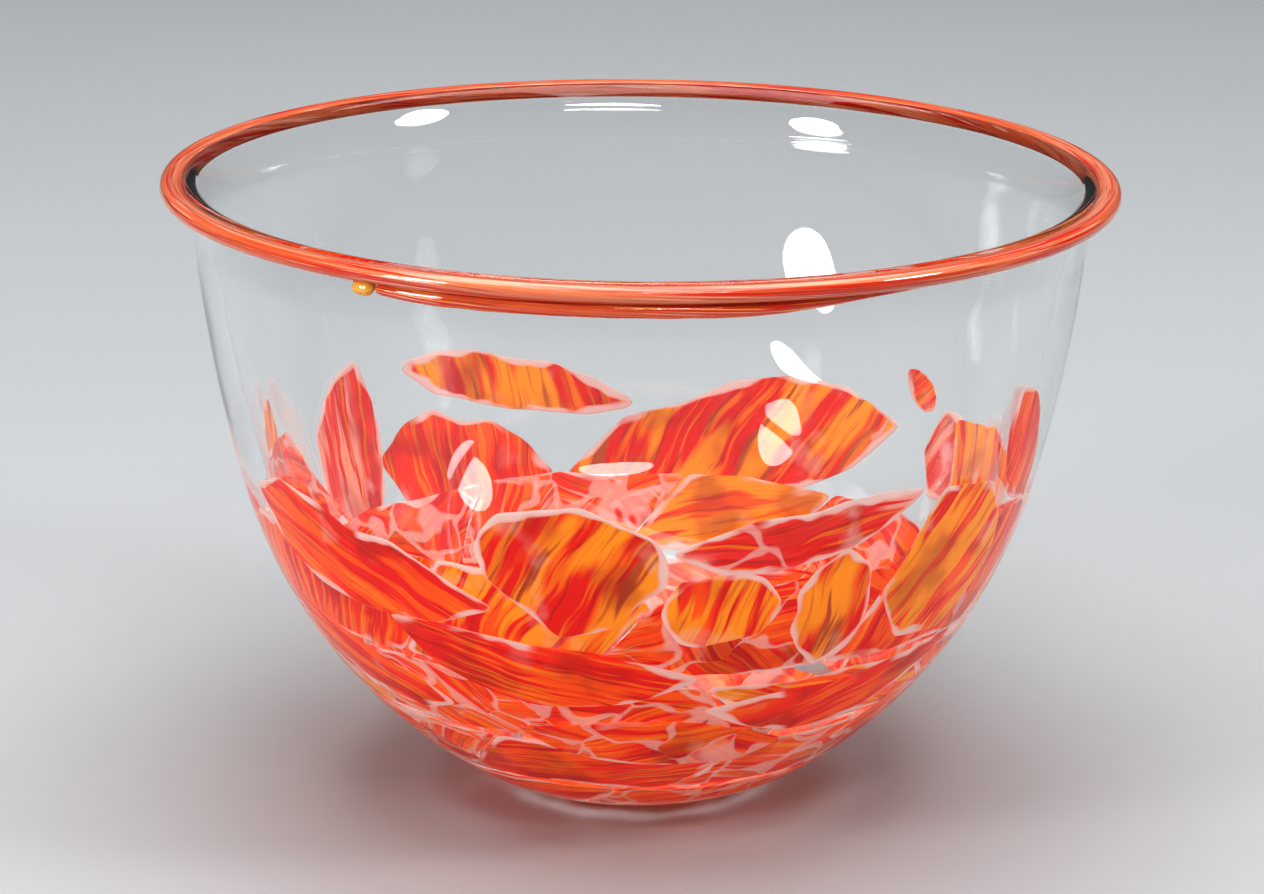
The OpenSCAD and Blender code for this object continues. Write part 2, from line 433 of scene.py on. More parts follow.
NAMED_LOOKS: dict[str, ShardLook] = {
    "left_blade": ShardLook(Palette.FLAME, -24),
    "centre_shard": ShardLook(Palette.AMBER, 62),
    "pink_tongue": ShardLook(Palette.ROSE, 8),
    "amber_block": ShardLook(Palette.TANGERINE, 75),
    "striped_block": ShardLook(Palette.AMBER, 80),
    "right_flag": ShardLook(Palette.TANGERINE, 50),
    "right_loop": ShardLook(Palette.SCARLET, 80),
    "lower_flame": ShardLook(Palette.SCARLET, -16),
    "left_sweep": ShardLook(Palette.FLAME, -30),
    "right_sweep": ShardLook(Palette.SCARLET, 24),
    "near_keel": ShardLook(Palette.EMBER, -6),
    "left_keel": ShardLook(Palette.EMBER, -22),
    "right_keel": ShardLook(Palette.EMBER, 22),
    "left_edge_shard": ShardLook(Palette.TANGERINE, -50),
    "left_stub": ShardLook(Palette.AMBER, 110),
    "left_spear": ShardLook(Palette.ROSE, 100),
    "back_left_panel": ShardLook(Palette.SCARLET, 95, 0.9 * MM),
    "back_fold": ShardLook(Palette.AMBER, 80, 1.0 * MM),
    "back_dome": ShardLook(Palette.AMBER, 118),
    "back_sliver": ShardLook(Palette.FLAME, -40),
    "right_spear": ShardLook(Palette.ROSE, -66),
    "right_edge_shard": ShardLook(Palette.FLAME, 42),
    "back_sweep": ShardLook(Palette.FLAME, 10),
    "back_keel": ShardLook(Palette.SCARLET, -12),
}
RING_LOOKS: dict[str, tuple[ShardLook, ...]] = {
    "foot_shards": (ShardLook(Palette.EMBER, 20),),
    "keel_shard": (ShardLook(Palette.SCARLET, 15), ShardLook(Palette.EMBER, 20)),
    "belly_shard": (
        ShardLook(Palette.EMBER, 14),
        ShardLook(Palette.BLUSH, 18),
        ShardLook(Palette.SCARLET, 10),
    ),
    "waist_shard": (
        ShardLook(Palette.BLUSH, -20),
        ShardLook(Palette.EMBER, -14),
        ShardLook(Palette.TANGERINE, -18),
    ),
    "crest_shard": (
        ShardLook(Palette.TANGERINE, 60),
        ShardLook(Palette.EMBER, -20),
        ShardLook(Palette.FLAME, 70),
    ),
}


def is_shard(node: str) -> bool:
    """Whether a node is a shard, by its own name or by its ring's."""
    return node in NAMED_LOOKS or node in RING_LOOKS or node.rpartition("_")[0] in RING_LOOKS


def look_of(node: str) -> ShardLook:
    """The look of a shard's node: its own, or its ring's looks in turn.

    Args:
        node: Name of the node.

    Returns:
        The look.
    """
    if node in NAMED_LOOKS:
        return NAMED_LOOKS[node]
    ring, _, number = node.rpartition("_")
    if number.isdigit():
        looks = RING_LOOKS[ring]
        return looks[int(number) % len(looks)]
    return RING_LOOKS[node][0]


@dataclass(frozen=True)
class ShardBody:
    """Builds one shard as a thin lens with a rounded, slightly wavy edge.

    Attributes:
        shape: The wall that it lies in.
        depth: Depth of its middle.
        thickness: Its full thickness.
        bevel: Width over which its edge rounds off.
        around: Points round the edge.
        rings: Rings from the centre to the edge.
        softening: How far the heat has rounded the corners, as a length along the edge.
        spread: How far the hot glass has spread past its cut edge.
        waver: How far the edge strays in and out.
        waver_waves: How many waves make up the waver.
        facing: Least cosine between the outward way and a triangle of the outer face.
        crowding: Above 1, the rings lie closer together towards the edge.
        pattern_reach_mm: Farthest that a shard's streak pattern is shifted.
        pattern_seed: Added to the seed for that shift.
    """

    shape: WallShape
    depth: float
    thickness: float = 0.68 * MM
    bevel: float = 0.7 * MM
    around: int = 112
    rings: int = 12
    softening: float = 0.9 * MM
    spread: float = 0.3 * MM
    waver: float = 0.3 * MM
    waver_waves: int = 9
    facing: float = 0.75
    crowding: float = 1.7
    pattern_reach_mm: float = 200
    pattern_seed: int = 500

    def outline(self, points: np.ndarray, triangles: np.ndarray) -> tuple[np.ndarray, np.ndarray]:
        """Edge of a CAD shard on its outer face, and the middle of that face.

        The outer face is the triangles that look straight out of the wall, and its edge is the
        sides that only one of them has. The middle is the mean of the triangles by area.

        Args:
            points: Points of the CAD node.
            triangles: Triangles of this shard.

        Returns:
            The edge's turns and runs as (n, 2), and the turn and run of the middle.
        """
        tiny = 1e-30
        corners = points[triangles]
        normal = np.cross(corners[:, 1] - corners[:, 0], corners[:, 2] - corners[:, 0])
        normal /= np.linalg.norm(normal, axis=1, keepdims=True) + tiny
        turn, run = self.shape.find(corners.mean(axis=1), self.depth)
        slope = self.shape.at(run, np.full_like(run, self.depth))[2]
        outer = (normal * self.shape.outward(turn, slope)).sum(axis=1) > self.facing
        face = triangles[outer]
        sides = np.sort(np.concatenate([face[:, [0, 1]], face[:, [1, 2]], face[:, [2, 0]]]), axis=1)
        unique, times = np.unique(sides, axis=0, return_counts=True)
        rim = points[np.unique(unique[times == 1])]
        corners = points[face]
        area = np.linalg.norm(
            np.cross(corners[:, 1] - corners[:, 0], corners[:, 2] - corners[:, 0]), axis=1
        )
        centre = (corners.mean(axis=1) * area[:, None]).sum(axis=0) / area.sum()
        rim_turn, rim_run = self.shape.find(rim, self.depth)
        c_turn, c_run = self.shape.find(centre[None], self.depth)
        rim_turn = c_turn + (rim_turn - c_turn + math.pi) % (2 * math.pi) - math.pi
        return np.stack([rim_turn, rim_run], axis=-1), np.array([c_turn[0], c_run[0]])

    def soften(self, loop: np.ndarray, seed: int) -> np.ndarray:
        """Evens out the points of a closed line, rounds its corners and makes it waver.

        The line is blurred by a bell curve along its length, and then moved outwards by the
        spread and in and out by a sum of sine waves.

        Args:
            loop: Points of the line (n, 2), in order.
            seed: Chooses the waves.

        Returns:
            As many new points as the shard's edge has, going the same way round.
        """
        closed = np.vstack([loop, loop[:1]])
        lengths = np.concatenate([[0], np.cumsum(np.linalg.norm(np.diff(closed, axis=0), axis=1))])
        even = np.linspace(0, lengths[-1], self.around, endpoint=False)
        line = np.stack([np.interp(even, lengths, closed[:, k]) for k in (0, 1)], axis=-1)
        step = lengths[-1] / self.around
        reach = np.fft.fftfreq(self.around, d=step)
        blur = np.exp(-2 * (math.pi * reach * self.softening) ** 2)[:, None]
        line = np.real(np.fft.ifft(np.fft.fft(line, axis=0) * blur, axis=0))
        along = np.linspace(0, 2 * math.pi, self.around, endpoint=False)
        away = np.stack([np.gradient(line[:, 1]), -np.gradient(line[:, 0])], axis=-1)
        size = np.linalg.norm(away, axis=1, keepdims=True)
        swing = waves(2 * along, np.zeros(1), seed, self.waver_waves) - 0.5
        stray = self.spread + self.waver * swing[:, None] * 2
        return line + away / size * stray

    def build(self, points: np.ndarray, triangles: np.ndarray, grain: float, seed: int) -> Skin:
        """Builds the closed lens.

        Its rings shrink from the edge to the centre. Within a bevel's width of the edge its half
        thickness rises as a quarter ellipse, and farther in it is constant.

        Args:
            points: Points of the CAD node.
            triangles: Triangles of this shard.
            grain: Direction of the streaks, in degrees from level.
            seed: Chooses the unevenness of the edge and the place in the streak pattern.

        Returns:
            The skin, with the fields that its material reads: edge_mm, the distance to the edge,
            and grain_mm, the places across and along the streaks.
        """
        places, (c_turn, c_run) = self.outline(points, triangles)
        c_radius = float(self.shape.at(np.array(c_run), np.array(self.depth))[0])
        chart = (places - [c_turn, c_run]) * [c_radius, 1]
        order = np.argsort(np.arctan2(chart[:, 1], chart[:, 0]))
        edge = self.soften(chart[order], seed)
        share = 1 - (1 - np.linspace(0, 1, self.rings + 1)[1:]) ** self.crowding
        grid = share[:, None, None] * edge[None]

        def in_space(flat: np.ndarray, depth: np.ndarray) -> np.ndarray:
            """Points in space for places measured from the middle of the shard."""
            return self.shape.place(c_turn + flat[..., 0] / c_radius, c_run + flat[..., 1], depth)

        middle = in_space(grid, np.full(grid.shape[:2], self.depth))
        rim = middle[-1]
        gaps = np.linalg.norm(middle[:, :, None] - rim[None, None], axis=-1).min(axis=-1)
        gaps[-1] = 0
        tuck = 1 - np.clip(gaps / self.bevel, 0, 1)
        half = self.thickness / 2 * np.sqrt(1 - tuck**2)
        outer = in_space(grid[:-1], self.depth - half[:-1])
        inner = in_space(grid[:-1], self.depth + half[:-1])
        centre = np.zeros((1, 2))
        tops = in_space(centre, np.array([self.depth - self.thickness / 2]))
        feet = in_space(centre, np.array([self.depth + self.thickness / 2]))
        rings = np.concatenate([outer, rim[None], inner[::-1]])
        skin = skin_pole_to_pole(rings, tops[0], feet[0])
        order_of = [*range(self.rings), *range(self.rings - 2, -1, -1)]
        flat = grid[order_of].reshape(-1, 2)
        centre_gap = gaps[0].mean()
        edge_mm = np.concatenate([[centre_gap], gaps[order_of].ravel(), [centre_gap]]) / MM
        flat = np.vstack([centre, flat, centre]) / MM
        tilt = math.radians(grain)
        along = flat[:, 0] * math.cos(tilt) + flat[:, 1] * math.sin(tilt)
        across = flat[:, 1] * math.cos(tilt) - flat[:, 0] * math.sin(tilt)
        rng = np.random.default_rng(self.pattern_seed + seed)
        offset = rng.uniform(-self.pattern_reach_mm, self.pattern_reach_mm, 3)
        skin.fields["edge_mm"] = edge_mm
        skin.fields["grain_mm"] = np.stack([across, along, np.zeros_like(along)], axis=-1) + offset
        return skin


# ---------------------------------------------------------------- the lip wrap


@dataclass(frozen=True)
class LipRing:
    """Where the wrap lies, measured from its CAD node.

    Attributes:
        ring_r: Radius of the ring's middle line.
        height: Height of that line.
        cane_r: Radius of the cane.
    """

    ring_r: float
    height: float
    cane_r: float

    @staticmethod
    def measured(points: np.ndarray) -> LipRing:
        """Takes the ring's sizes from its CAD node, which lies level.

        Args:
            points: Points of the CAD wrap.

        Returns:
            The ring.
        """
        top, foot = points[:, 2].max(), points[:, 2].min()
        cane_r = (top - foot) / 2
        reach = np.hypot(points[:, 0], points[:, 1])
        return LipRing(float(reach.max() - cane_r), float((top + foot) / 2), float(cane_r))

    def place(self, turn: np.ndarray, out: np.ndarray, rise: np.ndarray) -> np.ndarray:
        """Points at a turn, a distance outside the ring's middle line and a rise above it."""
        reach = self.ring_r + out
        return np.stack([reach * np.sin(turn), -reach * np.cos(turn), self.height + rise], axis=-1)


@dataclass(frozen=True)
class LipWrap:
    """The streaked cane round the lip: a ring whose thickness wavers a little inside its CAD size.

    Attributes:
        ring: The ring that it follows.
        around: Points round the ring.
        section: Points round the cane.
        waver: Greatest fall of its radius, as a share.
        fused: How far it is melted into the lip.
        fused_way: Direction from the cane to the lip, as an angle round the section in degrees.
        dents: Fall of its radius at small dents, as a share.
        twist_sway: How far its twist runs ahead and behind, in radians.
        waver_seed: Chooses the waver.
        dent_seed: Chooses the dents.
    """

    ring: LipRing
    around: int = 480
    section: int = 40
    waver: float = 0.035
    fused: float = 1.8 * MM
    fused_way: float = 195
    dents: float = 0.02
    twist_sway: float = 0.25
    waver_seed: int = 21
    dent_seed: int = 22

    def build(self) -> Skin:
        """Sweeps a near-round section round the ring, drawn out to a blunt point on the lip's side.

        Returns:
            The closed skin, with the fields that its material reads.
        """
        turn = np.linspace(0, 2 * math.pi, self.around, endpoint=False)[:, None]
        phase = np.linspace(0, 2 * math.pi, self.section, endpoint=False)[None]
        swell = 1 - self.waver * waves(turn, phase * 0 + 1.0, self.waver_seed)
        swell = swell - self.dents * waves(turn, 2 * phase, self.dent_seed)
        inward = np.clip(np.cos(phase - math.radians(self.fused_way)), 0, 1)
        radius = self.ring.cane_r * swell + self.fused * inward**2
        grid = self.ring.place(
            np.broadcast_to(turn, radius.shape), radius * np.cos(phase), radius * np.sin(phase)
        )
        skin = skin_ring(grid)
        twist = phase + turn + self.twist_sway * np.sin(3 * turn)
        add_cane_fields(skin, np.broadcast_to(turn, radius.shape), twist, self.ring)
        return skin


STREAK_LENGTH = 30 * MM
STREAK_WIDTH = 0.42 * MM


def add_cane_fields(skin: Skin, turn: np.ndarray, twist: np.ndarray, ring: LipRing) -> None:
    """Stores seamless coordinates for streaks that run along a cane.

    The first two numbers circle slowly with the turn and the third, with streak_w, circles
    quickly with the place round the section, so neither has a seam. The field facing_front is 1 at
    the front of the bowl and -1 at the back.

    Args:
        skin: The cane's skin, whose points are in the order of turn and twist.
        turn: Turn round the bowl of each point.
        twist: Angle round the section of each point, with the cane's own twist added.
        ring: The ring that gives the sizes.
    """
    slow = ring.ring_r / STREAK_LENGTH
    quick = ring.cane_r / STREAK_WIDTH
    fields = [np.cos(turn) * slow, np.sin(turn) * slow, np.cos(twist) * quick]
    skin.fields["streak_xyz"] = np.stack([f.ravel() for f in fields], axis=-1)
    skin.fields["streak_w"] = (np.sin(twist) * quick).ravel()
    skin.fields["facing_front"] = np.cos(turn).ravel()


@dataclass(frozen=True)
class LaidCane:
    """A length of cane laid under the wrap, from one turn to another.

    Attributes:
        ring: The ring of the wrap.
        start: Turn where it starts, in radians.
        end: Turn where it ends.
        out: Distance of its middle line outside the ring's.
        rise: Height of its middle line above the ring's.
        radius: Its greatest radius.
        start_share: Radius at the start, as a share of the greatest.
        end_share: Radius at the end, as a share of the greatest.
        start_reach: Share of its length over which it swells from the start.
        thin_from: Share of its length from where it thins to the end.
        dents: Fall of its radius at dents, as a share.
        dent_seed: Chooses the dents.
        steps: Rings along it.
        section: Points round each ring.
    """

    ring: LipRing
    start: float
    end: float
    out: float
    rise: float
    radius: float
    start_share: float = 0.8
    end_share: float = 0.25
    start_reach: float = 0.1
    thin_from: float = 0.65
    dents: float = 0.12
    dent_seed: int = 31
    steps: int = 120
    section: int = 20

    @staticmethod
    def measured(ring: LipRing, points: np.ndarray, **choices: float) -> LaidCane:
        """Takes the stretch, middle line and radius from a CAD cane.

        Args:
            ring: The ring of the wrap.
            points: Points of the CAD cane.
            **choices: Other fields of the laid cane.

        Returns:
            The laid cane.
        """
        turn = np.arctan2(points[:, 0], -points[:, 1])
        reach = np.hypot(points[:, 0], points[:, 1]) - ring.ring_r
        rise = points[:, 2] - ring.height
        radius = (reach.max() - reach.min()) / 2
        middle = reach.min() + radius
        return LaidCane(ring, turn.min(), turn.max(), middle, rise.min() + radius, radius, **choices)

    def build(self) -> Skin:
        """Sweeps a round section along the stretch, swelling and thinning, with rounded ends.

        Returns:
            The closed skin, with the fields that its material reads.
        """
        share = np.linspace(0, 1, self.steps)[:, None]
        phase = np.linspace(0, 2 * math.pi, self.section, endpoint=False)[None]
        taper = self.start_share + (1 - self.start_share) * smooth_step(share, 0, self.start_reach)
        taper = taper * (1 - (1 - self.end_share) * smooth_step(share, self.thin_from, 1.0))
        length = abs(self.end - self.start) * self.ring.ring_r
        round_off = np.clip(np.minimum(share, 1 - share) * length / self.radius, 0, 1)
        ends = np.sqrt(1 - (1 - round_off) ** 2)
        swell = 1 - self.dents * waves(5 * math.pi * share, 0 * phase, self.dent_seed)
        radius = self.radius * taper * ends * swell
        turn = self.start + (self.end - self.start) * share + 0 * phase
        lift = self.radius * (1 - taper)
        grid = self.ring.place(
            turn, self.out + radius * np.cos(phase), self.rise + lift + radius * np.sin(phase)
        )
        rings = grid[1:-1]
        skin = skin_pole_to_pole(rings, grid[0].mean(axis=0), grid[-1].mean(axis=0))
        turns = np.concatenate([turn[0, :1], turn[1:-1].ravel(), turn[-1, :1]])
        twist = (phase + 2 * turn)[1:-1].ravel()
        add_cane_fields(skin, turns, np.concatenate([[0], twist, [0]]), self.ring)
        return skin


# ---------------------------------------------------------------- materials


GOLD = (0.92, 0.33, 0.012, 1)
DARK_RED = (0.30, 0.008, 0.004, 1)
RIM_BLUSH = (0.80, 0.26, 0.19, 1)
CANE_PALE = (0.86, 0.50, 0.40, 1)
WHITE = (1, 1, 1, 1)
GLASS_IOR = 1.5
VALUE, VECTOR, COLOUR = "NodeSocketFloat", "NodeSocketVector", "NodeSocketColor"


class Nodes:
    """Short calls for laying out the nodes of one material or group."""

    def __init__(self, tree: bpy.types.NodeTree) -> None:
        """Keeps the tree that the nodes go into."""
        self.tree = tree

    @staticmethod
    def of_material(name: str) -> tuple[bpy.types.Material, Nodes]:
        """A new material without nodes, and the calls that lay them out.

        Args:
            name: Name of the material.

        Returns:
            The material and its calls.
        """
        material = bpy.data.materials.new(name)
        material.use_nodes = True
        material.node_tree.nodes.clear()
        return material, Nodes(material.node_tree)

    def add(self, kind: str, inputs: dict | None = None, **settings: object) -> bpy.types.Node:
        """Adds a node, sets its settings, and fills or links its inputs.

        Args:
            kind: Node type, such as ShaderNodeMath.
            inputs: Socket name or number to a value or to the socket that feeds it.
            **settings: Properties of the node.

        Returns:
            The node.
        """
        node = self.tree.nodes.new(kind)
        for key, value in settings.items():
            setattr(node, key, value)
        for key, value in (inputs or {}).items():
            self.feed(node.inputs[key], value)
        return node

    def feed(self, socket: Socket, value: object) -> None:
        """Links a socket to the one that feeds it, or sets it to a plain value.

        Args:
            socket: The input to fill.
            value: A plain value, or the output that feeds it.
        """
        if isinstance(value, Socket):
            self.tree.links.new(value, socket)
        else:
            socket.default_value = value

    def math(self, operation: str, a: object, b: object = 0.0) -> Socket:
        """Result of one arithmetic step on two values or sockets."""
        return self.add("ShaderNodeMath", {0: a, 1: b}, operation=operation).outputs[0]

    def ramp(self, value: object, low: float, high: float) -> Socket:
        """Smooth rise from 0 at low to 1 at high."""
        inputs = {"Value": value, "From Min": low, "From Max": high}
        return self.add("ShaderNodeMapRange", inputs, interpolation_type="SMOOTHSTEP").outputs["Result"]

    def between(self, value: object, low: float, high: float) -> Socket:
        """Brings a value of 0 to 1 into low to high, in a straight line."""
        inputs = {"Value": value, "To Min": low, "To Max": high}
        return self.add("ShaderNodeMapRange", inputs).outputs["Result"]

    def noise(self, vector: object, scale: float, detail: float = 2.0, w: object = None) -> Socket:
        """Noise between 0 and 1 over a vector, and over w as well where it is given.

        Args:
            vector: Socket of the coordinates.
            scale: How fine the noise is.
            detail: How much smaller noise is added.
            w: Socket of the fourth coordinate.

        Returns:
            The noise.
        """
        inputs = {"Vector": vector, "Scale": scale, "Detail": detail}
        if w is None:
            return self.add("ShaderNodeTexNoise", inputs).outputs["Fac"]
        inputs["W"] = w
        return self.add("ShaderNodeTexNoise", inputs, noise_dimensions="4D").outputs["Fac"]

    def mix(self, factor: object, a: object, b: object) -> Socket:
        """Mixes two colours.

        Args:
            factor: 0 for the first colour, 1 for the second.
            a: First colour.
            b: Second colour.

        Returns:
            The mixed colour.
        """
        node = self.add("ShaderNodeMix", data_type="RGBA")
        for key, value in (("Factor_Float", factor), ("A_Color", a), ("B_Color", b)):
            self.feed(next(s for s in node.inputs if s.identifier == key), value)
        return next(s for s in node.outputs if s.identifier == "Result_Color")

    def field(self, name: str, output: str) -> Socket:
        """Reads a field of the surface, as its Vector or its Fac."""
        return self.add("ShaderNodeAttribute", attribute_name=name).outputs[output]

    def bump(self, height: Socket, strength: float, distance: float) -> Socket:
        """Normal of a surface with this height."""
        inputs = {"Height": height, "Strength": strength, "Distance": distance}
        return self.add("ShaderNodeBump", inputs).outputs["Normal"]

    def surface(self, inputs: dict) -> None:
        """Adds the shader with these inputs, and the material's output."""
        shader = self.add("ShaderNodeBsdfPrincipled", inputs)
        self.add("ShaderNodeOutputMaterial", {"Surface": shader.outputs[0]})


def new_group(name: str, inputs: dict[str, str], outputs: dict[str, str]) -> tuple[bpy.types.NodeTree, Nodes]:
    """An empty shader group with named sockets.

    Args:
        name: Name of the group.
        inputs: Input names and their socket types.
        outputs: Output names and their socket types.

    Returns:
        The group, and the calls that lay out its nodes.
    """
    group = bpy.data.node_groups.new(name, "ShaderNodeTree")
    for in_out, sockets in (("INPUT", inputs), ("OUTPUT", outputs)):
        for label, kind in sockets.items():
            group.interface.new_socket(label, in_out=in_out, socket_type=kind)
    return group, Nodes(group)


@dataclass(frozen=True)
class StreakLayer:
    """One layer of streaks in a shard.

    Attributes:
        across: Scale of its noise across the streaks.
        along: Scale along them, far smaller, which draws the noise out into streaks.
        place: Its place in the noise, so that no two layers are alike.
    """

    across: float
    along: float
    place: float


BROAD = StreakLayer(0.5, 0.028, 0.0)
NARROW = StreakLayer(1.15, 0.036, 31.0)
FINE = StreakLayer(2.3, 0.045, 53.0)
HAIR = StreakLayer(4.0, 0.05, 77.0)


def drawn_streaks_group() -> bpy.types.NodeTree:
    """Group: patches of streaks, each patch drawn out in its own direction.

    The plane is split into cells of the patch size, whose borders a slow noise bends. Each cell
    turns the streaks by its own angle and takes them from its own place in the noise, and another
    slow noise makes them sway. Noises stretched along the streaks, broad and narrow, choose where
    the second and third colours show. Gold lines, dark hairs and slow dark clouds lie over them.

    Returns:
        The group. Border is the distance to the nearest border of a cell.
    """
    inputs = {
        "Grain": VECTOR,
        "Streak Width": VALUE,
        "Ground": COLOUR,
        "Second": COLOUR,
        "Third": COLOUR,
        "Second Share": VALUE,
        "Third Share": VALUE,
        "Patch Size": VALUE,
        "Patch Turn": VALUE,
    }
    bend_scale, bend_reach = 0.11, (14.0, 14.0, 0.0)
    sway_scale, sway_reach = 0.07, 5.0
    cells_apart = 20.0
    second_soft, third_soft = 0.05, 0.035
    gold_level, gold_soft, gold_strength = 0.58, 0.05, 0.55
    hair_from, hair_full, hair_strength = 0.54, 0.66, 0.4
    cloud_scale, cloud_from, cloud_full, cloud_strength = 0.09, 0.48, 0.7, 0.45

    group, n = new_group("drawn_streaks", inputs, {"Color": COLOUR, "Relief": VALUE, "Border": VALUE})
    source = n.add("NodeGroupInput").outputs
    grain = source["Grain"]
    bend = n.add("ShaderNodeTexNoise", {"Vector": grain, "Scale": bend_scale, "Detail": 1.0})
    shift = n.add("ShaderNodeVectorMath", {0: bend.outputs["Color"], 1: bend_reach}, operation="MULTIPLY")
    bent = n.add("ShaderNodeVectorMath", {0: grain, 1: shift.outputs[0]}, operation="ADD").outputs[0]
    cells = {"Vector": bent, "Scale": n.math("DIVIDE", 1.0, source["Patch Size"])}
    cell = n.add("ShaderNodeTexVoronoi", cells)
    border = n.add("ShaderNodeTexVoronoi", cells, feature="DISTANCE_TO_EDGE")
    chance = n.add("ShaderNodeSeparateColor", {0: cell.outputs["Color"]}).outputs
    angle = n.math("MULTIPLY", n.math("SUBTRACT", chance[0], 0.5), source["Patch Turn"])
    turned = n.add("ShaderNodeVectorRotate", {"Vector": grain, "Angle": angle}, rotation_type="Z_AXIS")
    parts = n.add("ShaderNodeSeparateXYZ", {0: turned.outputs[0]}).outputs
    sway = n.math("MULTIPLY", n.noise(grain, sway_scale, 1.0), sway_reach)
    across = n.math("DIVIDE", n.math("ADD", parts[0], sway), source["Streak Width"])
    cell_place = n.math("MULTIPLY", chance[1], n.math("MULTIPLY", source["Patch Turn"], cells_apart))

    def stretched(layer: StreakLayer) -> Socket:
        """Noise of one layer, drawn out along the streaks.

        Args:
            layer: The layer.

        Returns:
            The noise.
        """
        x = n.math("MULTIPLY", across, layer.across)
        y = n.math("MULTIPLY", parts[1], layer.along)
        z = n.math("ADD", cell_place, layer.place)
        return n.noise(n.add("ShaderNodeCombineXYZ", {0: x, 1: y, 2: z}).outputs[0], 1.0)

    def over(value: object, level: object, soft: float) -> Socket:
        """Mask of where a value is over a level, with a soft border."""
        return n.ramp(n.math("DIVIDE", n.math("SUBTRACT", value, level), soft), -1.0, 1.0)

    narrow = stretched(NARROW)
    second_at = n.math("SUBTRACT", 1.0, source["Second Share"])
    third_at = n.math("SUBTRACT", 1.0, source["Third Share"])
    colour = n.mix(over(stretched(BROAD), second_at, second_soft), source["Ground"], source["Second"])
    colour = n.mix(over(narrow, third_at, third_soft), colour, source["Third"])
    gold = over(stretched(FINE), gold_level, gold_soft)
    colour = n.mix(n.math("MULTIPLY", gold, gold_strength), colour, GOLD)
    hair = n.ramp(stretched(HAIR), hair_from, hair_full)
    colour = n.mix(n.math("MULTIPLY", hair, hair_strength), colour, DARK_RED)
    cloud = n.ramp(n.noise(grain, cloud_scale), cloud_from, cloud_full)
    colour = n.mix(n.math("MULTIPLY", cloud, cloud_strength), colour, DARK_RED)
    reach = n.math("MULTIPLY", border.outputs["Distance"], source["Patch Size"])
    n.add("NodeGroupOutput", {"Color": colour, "Relief": narrow, "Border": reach})
    return group


def pale_edge_group() -> bpy.types.NodeTree:
    """Group: the pale layer that shows round the edge of a shard, with a wavering inner border.

    Milky clouds and veins along the borders of the patches take the same pale colour. A warmer
    blush lies across the middle of the pale layer's width.

    Returns:
        The group. Mask is where the pale colour shows.
    """
    inputs = {
        "Color": COLOUR,
        "Edge": VALUE,
        "Border": VALUE,
        "Grain": VECTOR,
        "Pale": COLOUR,
        "Width": VALUE,
        "Share": VALUE,
        "Milkiness": VALUE,
    }
    waver_scale, waver_mm = 0.13, 4.6
    rim_full, rim_end, rim_strength = 0.7, 1.15, 0.95
    gap_scale, gap_from, gap_full = 0.08, 0.92, 1.06
    vein_waver, vein_full, vein_end, vein_strength = 0.7, 0.35, 0.8, 0.55
    cloud_scale, cloud_from, cloud_full = 0.1, 0.6, 0.72
    blush_from, blush_full, blush_fades, blush_end, blush_strength = 0.35, 0.7, 0.9, 1.25, 0.35

    group, n = new_group("pale_edge", inputs, {"Color": COLOUR, "Mask": VALUE})
    source = n.add("NodeGroupInput").outputs
    grain = source["Grain"]
    waver = n.math("MULTIPLY", n.math("SUBTRACT", n.noise(grain, waver_scale, 1.0), 0.5), waver_mm)
    share = n.math("DIVIDE", n.math("ADD", source["Edge"], waver), source["Width"])
    lasting = n.ramp(n.math("ADD", n.noise(grain, gap_scale, 1.0), source["Share"]), gap_from, gap_full)
    rim = n.math("MULTIPLY", n.math("SUBTRACT", 1.0, n.ramp(share, rim_full, rim_end)), lasting)
    vein_reach = n.math("ADD", source["Border"], n.math("MULTIPLY", waver, vein_waver))
    vein = n.math("SUBTRACT", 1.0, n.ramp(vein_reach, vein_full, vein_end))
    cloud = n.ramp(n.noise(grain, cloud_scale, 3.0), cloud_from, cloud_full)
    milk = n.math("MULTIPLY", cloud, source["Milkiness"])
    mask = n.math("MAXIMUM", n.math("MULTIPLY", rim, rim_strength), n.math("MULTIPLY", vein, vein_strength))
    mask = n.math("MAXIMUM", mask, milk)
    blush = n.math("SUBTRACT", n.ramp(share, blush_from, blush_full), n.ramp(share, blush_fades, blush_end))
    pale = n.mix(n.math("MULTIPLY", blush, blush_strength), source["Pale"], RIM_BLUSH)
    n.add("NodeGroupOutput", {"Color": n.mix(mask, source["Color"], pale), "Mask": mask})
    return group


def surface_ripple_group() -> bpy.types.NodeTree:
    """Group: the faint unevenness of fire-polished glass, as a height and a roughness.

    Returns:
        The group. Its roughness is the one given, and a little more in smears.
    """
    ripple_scale = 34.0
    smear_scale, smear_from, smear_full, smear_rough = 90.0, 0.45, 0.8, 0.008
    outputs = {"Height": VALUE, "Roughness": VALUE}
    group, n = new_group("surface_ripple", {"Vector": VECTOR, "Roughness": VALUE}, outputs)
    source = n.add("NodeGroupInput").outputs
    smear = n.ramp(n.noise(source["Vector"], smear_scale), smear_from, smear_full)
    rough = n.math("ADD", source["Roughness"], n.math("MULTIPLY", smear, smear_rough))
    n.add("NodeGroupOutput", {"Height": n.noise(source["Vector"], ripple_scale, 1.0), "Roughness": rough})
    return group


